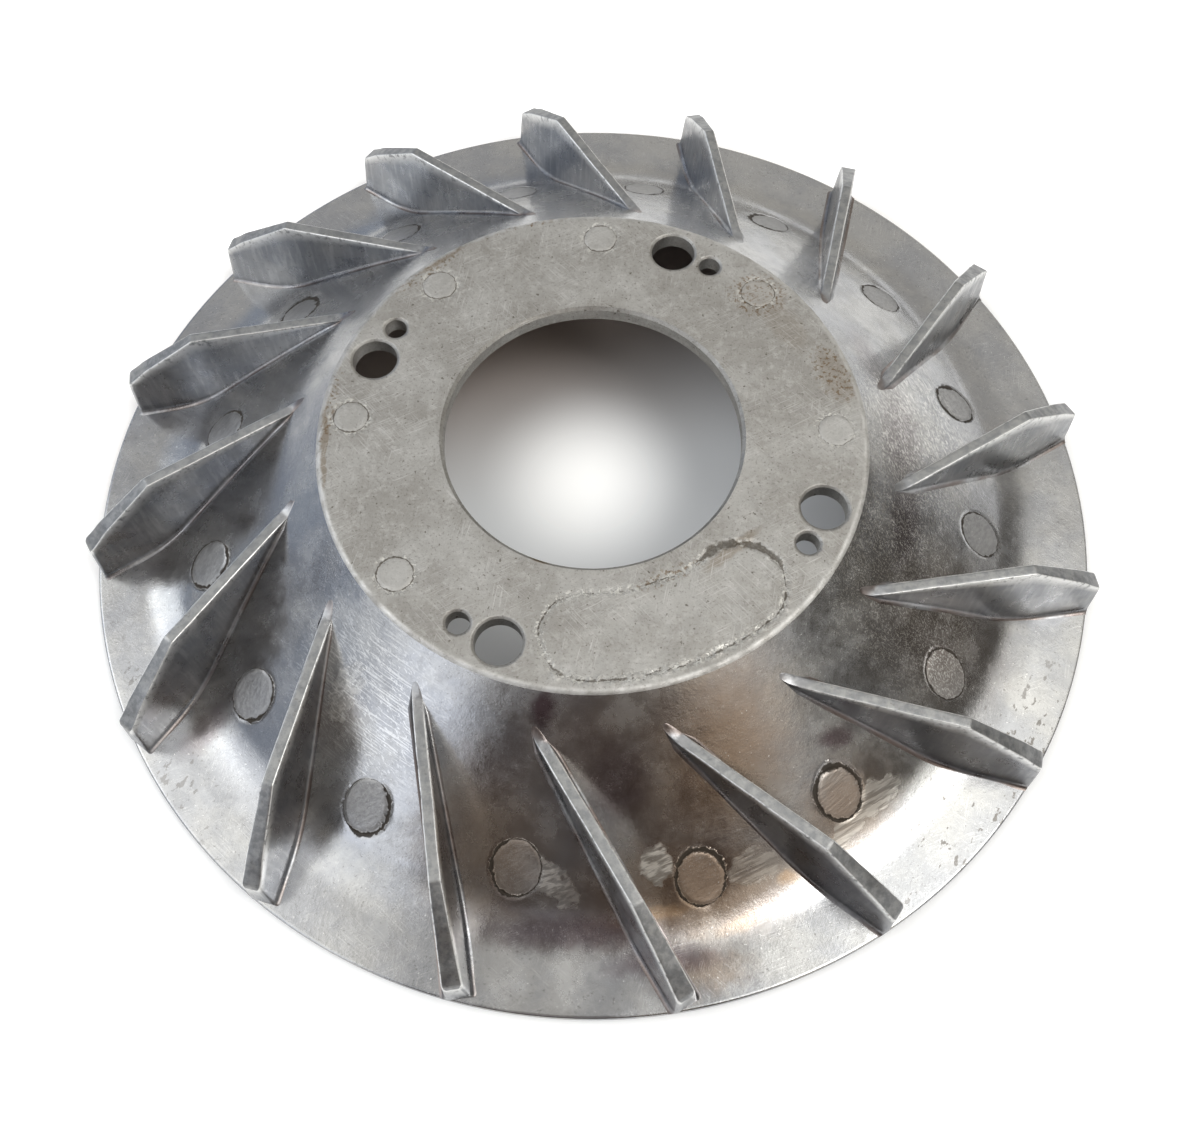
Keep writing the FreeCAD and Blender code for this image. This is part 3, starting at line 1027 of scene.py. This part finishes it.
# Painted reflection: near-black purple patches where the metal mirrors the dark part of the room, on
# the near skirt and beside the hub on the right.
DARK_REFLECTION_PATCHES = (
    (-7.4, -52.8, 2.6, 2.0, 70, 0.85),
    (5.2, -63.4, 6.0, 5.0, 80, 0.65),
    (-2.0, -86.0, 14.0, 2.6, 2, 0.60),
    (14.0, -90.5, 9.0, 2.2, 8, 0.60),
    (43.6, -53.7, 3.4, 1.7, 20, 0.75),
    (-71.0, -50.0, 6.0, 2.5, 50, 0.45),
    (58.0, -14.0, 8.0, 3.0, 80, 0.45),
    (58.5, 3.0, 10.0, 4.0, 85, 0.40),
    (54.0, 20.0, 8.0, 3.0, 110, 0.25),
)
GROUND_PATCHES = (
    (-7.0, -77.3, 4.4, 2.4, -30, 0.70),
    (-4.0, -80.0, 3.0, 1.6, -20, 0.50),
    (12.2, -75.4, 2.8, 3.0, 0, 1.00),
    (29.0, -75.0, 5.0, 2.4, 20, 0.45),
    (51.0, -62.5, 7.0, 2.4, 35, 0.62),
    (46.5, -68.0, 5.0, 1.8, 45, 0.45),
    (-42.7, -47.6, 5.0, 2.6, 60, 0.45),
    (-74.8, -19.5, 3.6, 3.0, 70, 0.60),
)
SCUFFED_PLACES = (
    (56.0, -26.0, 20.0, 14.0, -60, 1.0),
    (62.0, 4.0, 22.0, 12.0, 85, 0.8),
    (-40.0, -48.0, 16.0, 10.0, -50, 0.6),
)
NICKED_PLACES = (
    (74.0, -58.0, 30.0, 9.0, 50, 1.0),
    (-80.0, -52.0, 24.0, 6.0, -55, 0.6),
)


def skirt_material():
    n = Nodes("skirt_cast_skin")
    patches = n.grain(17.0, 5, 0.65, 0.38, 0.62)
    colour = n.mix(patches, rgb(0.40, 0.405, 0.42), rgb(0.49, 0.487, 0.48))
    cloud = n.ramp(n.noise(5.5, 5, 0.75, None, 0.6), 0.48, 0.72)
    colour = n.tint(colour, cloud, 0.25, rgb(0.29, 0.285, 0.285))
    pale = n.grain(1.8, 5, 0.75, 0.52, 0.74)
    colour = n.tint(colour, pale, 0.30, rgb(0.66, 0.66, 0.66))
    specks = n.grain(0.6, 4, 0.7, 0.58, 0.70)
    colour = n.tint(colour, specks, 0.50, rgb(0.15, 0.14, 0.13))
    edge = n.mark("edge")
    disc = n.ramp(edge, -0.15, 0.05, 1.0, 0.0)
    grit = n.ramp(n.noise(0.6, 3, 0.6, n.turned(40, 5)), 0.35, 0.65)
    grit_tone = n.mix(grit, rgb(0.27, 0.265, 0.265), rgb(0.40, 0.395, 0.39))
    colour = n.tint(colour, disc, 0.6, grit_tone)
    # Painted reflection: the brown patches laid into the skin.
    colour = n.mix(n.spots(BROWN_REFLECTION_PATCHES, 2.5, 0.8), colour, rgb(0.31, 0.205, 0.125))
    # Painted reflection: the near-black patches laid into the skin.
    colour = n.mix(n.spots(DARK_REFLECTION_PATCHES, 1.4, 0.6), colour, rgb(0.095, 0.05, 0.062))
    colour = n.mix(n.spots(ORANGE_STAINS, 1.0, 0.6), colour, rgb(0.64, 0.45, 0.28))
    patch = n.spots(GROUND_PATCHES, 1.9, 0.15)
    patch = n.times(patch, n.ramp(edge, 0.0, 0.3))
    brushed = n.ramp(n.noise(0.6, 2, 0.6, n.turned(28, 18)), 0.40, 0.60)
    tone = n.mix(brushed, rgb(0.33, 0.31, 0.28), rgb(0.85, 0.82, 0.76))
    colour = n.tint(colour, patch, 0.8, tone)
    marks = n.scratches(0.12, 110, 20, 0.62)
    marks = n.math("MAXIMUM", marks, n.scratches(0.12, 90, 75, 0.62))
    marks = n.math("MAXIMUM", marks, n.scratches(0.15, 70, -40, 0.62))
    scuffs = n.spots(SCUFFED_PLACES, 2.0, 0.5)
    lines = n.ramp(n.noise(0.28, 1, 0.5, n.turned(-35, 34)), 0.585, 0.625)
    lines = n.math("MAXIMUM", lines, n.ramp(n.noise(0.28, 1, 0.5, n.turned(-62, 28)), 0.60, 0.64))
    scuffs = n.times(scuffs, lines)
    colour = n.tint(colour, marks, 0.26, rgb(0.80, 0.80, 0.79))
    colour = n.tint(colour, scuffs, 0.8, rgb(0.95, 0.94, 0.91))
    dust = n.grain(0.45, 2, 0.5, 0.70, 0.76)
    colour = n.tint(colour, dust, 0.6, rgb(0.90, 0.89, 0.87))
    nicked = n.spots(NICKED_PLACES, 2.0, 0.6)
    nicks = n.ramp(n.noise(1.5, 3, 0.55, n.turned(60, 1.8)), 0.62, 0.66)
    colour = n.tint(colour, nicked, nicks, rgb(0.20, 0.19, 0.18))
    # Painted shade: the cracks round the pads are painted near black, widening into painted shadow
    # crescents where a disc dips.
    crack = n.crack(0.14)
    colour = n.tint(colour, crack, 0.92, rgb(0.055, 0.045, 0.035))
    rough = n.ramp(n.noise(8.0, 5, 0.7), 0.32, 0.68, 0.15, 0.30)
    rough = n.math("ADD", rough, n.times(cloud, 0.04))
    rough = n.math("ADD", rough, n.times(n.math("MAXIMUM", disc, patch), 0.20))
    rough = n.math("ADD", rough, n.times(crack, 0.4), clamp=True)
    normal = n.bump(n.noise(0.45, 5, 0.7), 0.25, 0.04)
    normal = n.bump(marks, 0.08, 0.015, normal)
    normal = n.bump(n.times(brushed, patch), 0.4, 0.05, normal)
    normal = n.bump(n.math("SUBTRACT", 1.0, crack), 0.7, 0.22, normal)
    normal = n.bump(n.noise(3.6, 4, 0.6), 0.35, 0.12, normal)
    normal = n.bump(n.times(grit, disc), 0.35, 0.05, normal)
    return n.finish(colour, 0.95, rough, normal)


def blade_material():
    n = Nodes("blade_cast_skin")
    patches = n.grain(9.0, 5, 0.65, 0.38, 0.62)
    colour = n.mix(patches, rgb(0.29, 0.30, 0.32), rgb(0.39, 0.392, 0.40))
    upright = n.framed(n.place, (0, 0), 0, (1.0, 1.0, 1 / 0.12))
    draw = n.noise(1.0, 4, 0.6, upright)
    colour = n.tint(colour, n.ramp(draw, 0.45, 0.7), 0.35, rgb(0.66, 0.66, 0.66))
    cloud = n.ramp(n.noise(3.5, 5, 0.7, None, 1.0), 0.48, 0.70)
    colour = n.tint(colour, cloud, 0.25, rgb(0.27, 0.27, 0.275))
    # Two large soft patches make the blades on the near side (negative y) darker.
    near_blade_darkening = n.spots((
        (46.0, -62.0, 44.0, 20.0, 35, 0.65),
        (-30.0, -72.0, 30.0, 16.0, -20, 0.30),
    ), 3.0, 0.8)
    colour = n.mix(near_blade_darkening, colour, rgb(0.15, 0.145, 0.155))
    crest = n.mark("crest")
    worn = n.grain(1.6, 4, 0.7, 0.35, 0.65)
    top = n.mix(worn, rgb(0.24, 0.245, 0.25), rgb(0.37, 0.37, 0.365))
    colour = n.tint(colour, crest, 0.85, top)
    slope = n.mark("slope")
    dull = n.mix(worn, rgb(0.19, 0.195, 0.205), rgb(0.33, 0.335, 0.34))
    colour = n.tint(colour, slope, 0.45, dull)
    # Painted highlight: a pale, broken line along both top edges of every blade.
    blade_edge_highlight = n.times(n.mark("rim"), n.grain(1.2, 3, 0.6, 0.25, 0.50))
    colour = n.tint(colour, blade_edge_highlight, 0.90, rgb(0.90, 0.90, 0.89))
    specks = n.grain(0.7, 3, 0.65, 0.60, 0.72)
    colour = n.tint(colour, specks, 0.5, rgb(0.15, 0.14, 0.13))
    # Painted shade: a dark brown line where each blade meets the skirt, broken up by noise.
    foot = n.mark("foot")
    colour = n.tint(colour, foot, 0.85, rgb(0.17, 0.125, 0.105))
    rough = n.ramp(n.noise(5.0, 5, 0.65), 0.3, 0.7, 0.22, 0.42)
    rough = n.math("ADD", rough, n.times(crest, 0.12), clamp=True)
    normal = n.bump(draw, 0.45, 0.09)
    normal = n.bump(n.noise(0.5, 5, 0.7), 0.35, 0.05, normal)
    return n.finish(colour, 0.95, rough, normal)


# The table: white, with painted shadow and painted light under the fan.
def floor_material():
    n = Nodes("white_table")

    def distance(x, y):
        off = n.add("ShaderNodeVectorMath", operation="DISTANCE")
        n.join(n.place, off.inputs[0])
        off.inputs[1].default_value = (x * MM, y * MM, 0.0)
        return off.outputs["Value"]

    far = distance(0, 0)
    toward = n.add("ShaderNodeVectorMath", operation="DOT_PRODUCT")
    n.join(n.place, toward.inputs[0])
    toward.inputs[1].default_value = (0.35, -0.94, 0.0)
    # Painted light and shade under the fan: the near part of the table (mask: front) is painted pale
    # and bluish as if lit, and the far part darker and brownish as painted shadow.
    front = n.ramp(toward.outputs["Value"], -0.045, 0.0)
    # Painted light: a bright round spot on the table under the bore, in its colour and as glow.
    light_pool = n.ramp(distance(-1.5, 6.0), 0.0, 0.025, 1.0, 0.0)
    under = n.mix(front, rgb(0.42, 0.36, 0.33), rgb(0.66, 0.68, 0.70))
    # Within 90 to 108 mm of the centre the table takes the painted shade colour; further out it is
    # evenly white.
    colour = n.mix(n.ramp(far, 0.090, 0.108), under, rgb(0.94, 0.94, 0.94))
    n.set(n.shader.inputs["Base Color"], n.mix(light_pool, colour, rgb(0.94, 0.94, 0.93)))
    n.shader.inputs["Roughness"].default_value = 0.75
    # Painted light: the table glows, fading to nothing under the fan, which paints a soft shadow
    # round the rim. The glow is stronger for the camera than in the metal's reflections.
    glow = n.ramp(far, 0.087, 0.118, 0.0, 0.50)
    glow = n.math("ADD", glow, n.times(light_pool, 0.24))
    # Painted light: a little more glow under the fan, on its near side.
    inside = n.ramp(far, 0.060, 0.090, 0.085, 0.0)
    glow = n.math("ADD", glow, n.times(front, inside))
    seen = n.add("ShaderNodeLightPath").outputs["Is Camera Ray"]
    glow = n.times(glow, n.ramp(seen, 0.0, 1.0, 0.3, 1.0))
    n.shader.inputs["Emission Color"].default_value = rgb(1.0, 1.0, 1.0)
    n.set(n.shader.inputs["Emission Strength"], glow)
    return n.material


# Stage: camera, floor, light
LENS_MM = 34.33
SENSOR_MM = 36.0
EYE_MM = (2.88, -111.2, 209.5)
LOOKING = (-0.00571, 0.41495, -0.90983)
TABLE_HALF = 4.0
TABLE_DROP = 0.0002


def make_camera():
    data = bpy.data.cameras.new("camera")
    data.lens = LENS_MM
    data.sensor_width = SENSOR_MM
    data.clip_start = 0.01
    data.clip_end = 20.0
    camera = bpy.data.objects.new("camera", data)
    bpy.context.scene.collection.objects.link(camera)
    camera.rotation_mode = "QUATERNION"
    camera.rotation_quaternion = Vector(LOOKING).to_track_quat("-Z", "Y")
    camera.location = Vector(EYE_MM) * MM
    bpy.context.scene.camera = camera


def make_floor():
    mesh = bpy.data.meshes.new("table")
    signs = ((-1, -1), (1, -1), (1, 1), (-1, 1))
    mesh.from_pydata([(TABLE_HALF * x, TABLE_HALF * y, 0) for x, y in signs], [], [(0, 1, 2, 3)])
    table = link("table", mesh)
    table.location.z = -TABLE_DROP
    table.data.materials.append(floor_material())


def area_light(name, place, size, power, colour=(1, 1, 1), aim=(0, 0, 0)):
    data = bpy.data.lights.new(name, "AREA")
    data.shape = "RECTANGLE"
    data.size = size[0]
    data.size_y = size[1]
    data.energy = power
    data.color = colour
    light = bpy.data.objects.new(name, data)
    light.location = place
    way = Vector(aim) - Vector(place)
    light.rotation_mode = "QUATERNION"
    light.rotation_quaternion = way.to_track_quat("-Z", "Y")
    light.visible_camera = False
    bpy.context.scene.collection.objects.link(light)


# What the metal mirrors. Each row is one soft patch of the room: azimuth (from the
# right, turning left), angle down from straight up, where it starts to fade and
# where it ends (degrees), and its light.
ROOM_BASE = (0.42, 0.41, 0.40)
ROOM = (
    (150, 80, 35, 75, (0.36, 0.41, 0.50)),
    (60, 65, 25, 52, (0.58, 0.56, 0.52)),
    (95, 25, 18, 45, (0.62, 0.61, 0.59)),
    (268, 58, 22, 48, (0.085, 0.068, 0.060)),
    (260, 36, 5, 18, (0.28, 0.265, 0.30)),
    (244, 38, 4, 14, (0.20, 0.17, 0.15)),
    (290, 42, 5, 16, (0.34, 0.27, 0.20)),
    (285, 58, 6, 18, (0.10, 0.075, 0.06)),
    (270, 17, 3, 11, (0.20, 0.17, 0.16)),
    (358, 68, 18, 40, (0.095, 0.085, 0.072)),
    (184, 84, 4, 14, (0.14, 0.13, 0.13)),
    (205, 44, 10, 28, (1.50, 1.54, 1.58)),
    (178, 32, 8, 22, (2.00, 2.00, 1.95)),
    (224, 65, 4, 15, (1.55, 1.62, 1.75)),
    (318, 50, 6, 19, (1.10, 1.03, 0.92)),
    (344, 46, 6, 16, (1.60, 1.60, 1.52)),
    (14, 42, 8, 20, (1.25, 1.23, 1.16)),
    (38, 22, 6, 15, (2.10, 2.08, 1.98)),
    (335, 27, 6, 21, (2.40, 2.40, 2.32)),
)


def make_world():
    world = bpy.data.worlds.new("studio")
    bpy.context.scene.world = world
    world.use_nodes = True
    tree = world.node_tree
    tree.nodes.clear()
    place = tree.nodes.new("ShaderNodeTexCoord").outputs["Generated"]
    base = tree.nodes.new("ShaderNodeRGB")
    base.outputs["Color"].default_value = rgb(*ROOM_BASE)
    colour = base.outputs["Color"]

    def mixed(factor, before, after):
        node = tree.nodes.new("ShaderNodeMix")
        node.data_type = "RGBA"
        tree.links.new(factor, node.inputs["Factor"])
        tree.links.new(before, node.inputs["A"])
        node.inputs["B"].default_value = after
        return node.outputs["Result"]

    for azimuth, down, inner, outer, light in ROOM:
        a = math.radians(azimuth)
        d = math.radians(down)
        dot = tree.nodes.new("ShaderNodeVectorMath")
        dot.operation = "DOT_PRODUCT"
        tree.links.new(place, dot.inputs[0])
        dot.inputs[1].default_value = (
            math.sin(d) * math.cos(a), math.sin(d) * math.sin(a), math.cos(d))
        fade = tree.nodes.new("ShaderNodeMapRange")
        fade.interpolation_type = "SMOOTHSTEP"
        tree.links.new(dot.outputs["Value"], fade.inputs["Value"])
        fade.inputs["From Min"].default_value = math.cos(math.radians(outer))
        fade.inputs["From Max"].default_value = math.cos(math.radians(inner))
        colour = mixed(fade.outputs["Result"], colour, rgb(*light))
    seen = tree.nodes.new("ShaderNodeLightPath").outputs["Is Camera Ray"]
    colour = mixed(seen, colour, rgb(0.95, 0.95, 0.95))
    shader = tree.nodes.new("ShaderNodeBackground")
    tree.links.new(colour, shader.inputs["Color"])
    output = tree.nodes.new("ShaderNodeOutputWorld")
    tree.links.new(shader.outputs["Background"], output.inputs["Surface"])


def make_stage():
    make_camera()
    make_floor()
    make_world()
    area_light("left_window", (-1.6, 0.3, 1.2), (1.2, 1.0), 5, (0.95, 0.98, 1.0))
    area_light("right_box", (0.7, -0.35, 1.2), (0.6, 0.6), 4, (1.0, 0.99, 0.97))
    settings = bpy.context.scene.view_settings
    settings.view_transform = "Standard"
    settings.look = "None"


# Assembly
def place_piece(piece, material, slot, *nodes):
    piece.data.materials.append(material)
    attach(piece, "root")
    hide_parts(*nodes)


def main():
    make_stage()
    place_piece(hub_casting(), hub_material(), "hub_face",
                "hub_plate", "hub_ejector_pads", "gate_pad")
    place_piece(skirt_casting(), skirt_material(), "skirt_skin",
                "cone_skirt", "rim_band", "skirt_ejector_pads")
    skin = blade_material()
    for number in range(BLADES):
        place_piece(blade_casting(number), skin, "blade_skin", "blade_%02d" % (number + 1))


main()
